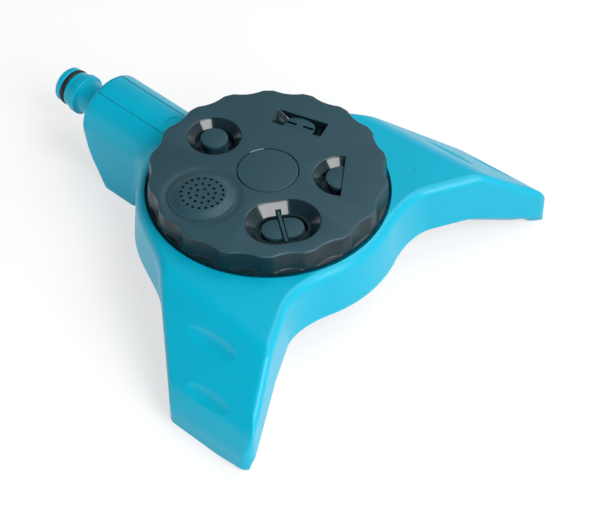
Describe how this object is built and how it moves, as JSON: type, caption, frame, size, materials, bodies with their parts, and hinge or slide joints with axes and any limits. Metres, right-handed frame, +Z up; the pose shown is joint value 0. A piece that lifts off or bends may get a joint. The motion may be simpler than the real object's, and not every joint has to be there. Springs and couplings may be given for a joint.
{
  "type": "multi-pattern sprinkler",
  "caption": "Static garden sprinkler: winged moulded stand, quick-connect hose inlet and a fluted dial that turns to bring one of several spray nozzles over the water port.",
  "frame": {"origin": "centre of the overall box, on the ground", "axes": "+X from the inlet to the front between the wings, +Y to the left wing seen from the inlet, +Z up along the dial's axis"},
  "size_m": [0.1916, 0.184, 0.0485],
  "materials": {
    "body_plastic": "satin turquoise moulded plastic",
    "dial_plastic": "satin dark slate moulded plastic",
    "seal_rubber": "black rubber",
    "screw_steel": "plain zinc-plated steel",
    "pale_plastic": "natural white acetal"
  },
  "bodies": {
    "stand": {"base_shell": "body_plastic", "inlet_manifold": "body_plastic", "connector_o_ring": "seal_rubber", "manifold_screw_1": "screw_steel", "manifold_screw_2": "screw_steel", "manifold_screw_3": "screw_steel", "pivot_washer": "pale_plastic", "pivot_screw": "screw_steel", "detent_leaf": "screw_steel", "detent_screw": "screw_steel", "seal_spring": "screw_steel"},
    "dial": {"selector_disc": "dial_plastic", "nozzle_plate": "pale_plastic", "half_circle_core": "dial_plastic", "square_core": "dial_plastic", "full_circle_core": "dial_plastic", "twin_arc_core": "dial_plastic", "centre_cap": "dial_plastic", "gasket_1": "seal_rubber", "gasket_2": "seal_rubber", "gasket_3": "seal_rubber", "gasket_4": "seal_rubber", "gasket_5": "seal_rubber", "plate_screw_1": "screw_steel", "plate_screw_2": "screw_steel", "plate_screw_3": "screw_steel", "plate_screw_4": "screw_steel", "plate_screw_5": "screw_steel"},
    "seal": {"port_seal": "seal_rubber"}
  },
  "joints": [
    {"name": "disc_turn", "type": "hinge", "parent": "stand", "child": "dial", "pos_m": [0.02249, 0, 0.04], "axis": [0, 0, 1], "continuous": true, "deforming": ["detent_leaf"]},
    {"name": "seal_float", "type": "slide", "parent": "stand", "child": "seal", "axis": [0, 0, 1], "range_m": [-0.001, 0], "stiffness_N_per_m": 800, "springref_m": 0.0005, "deforming": ["seal_spring"]}
  ]
}
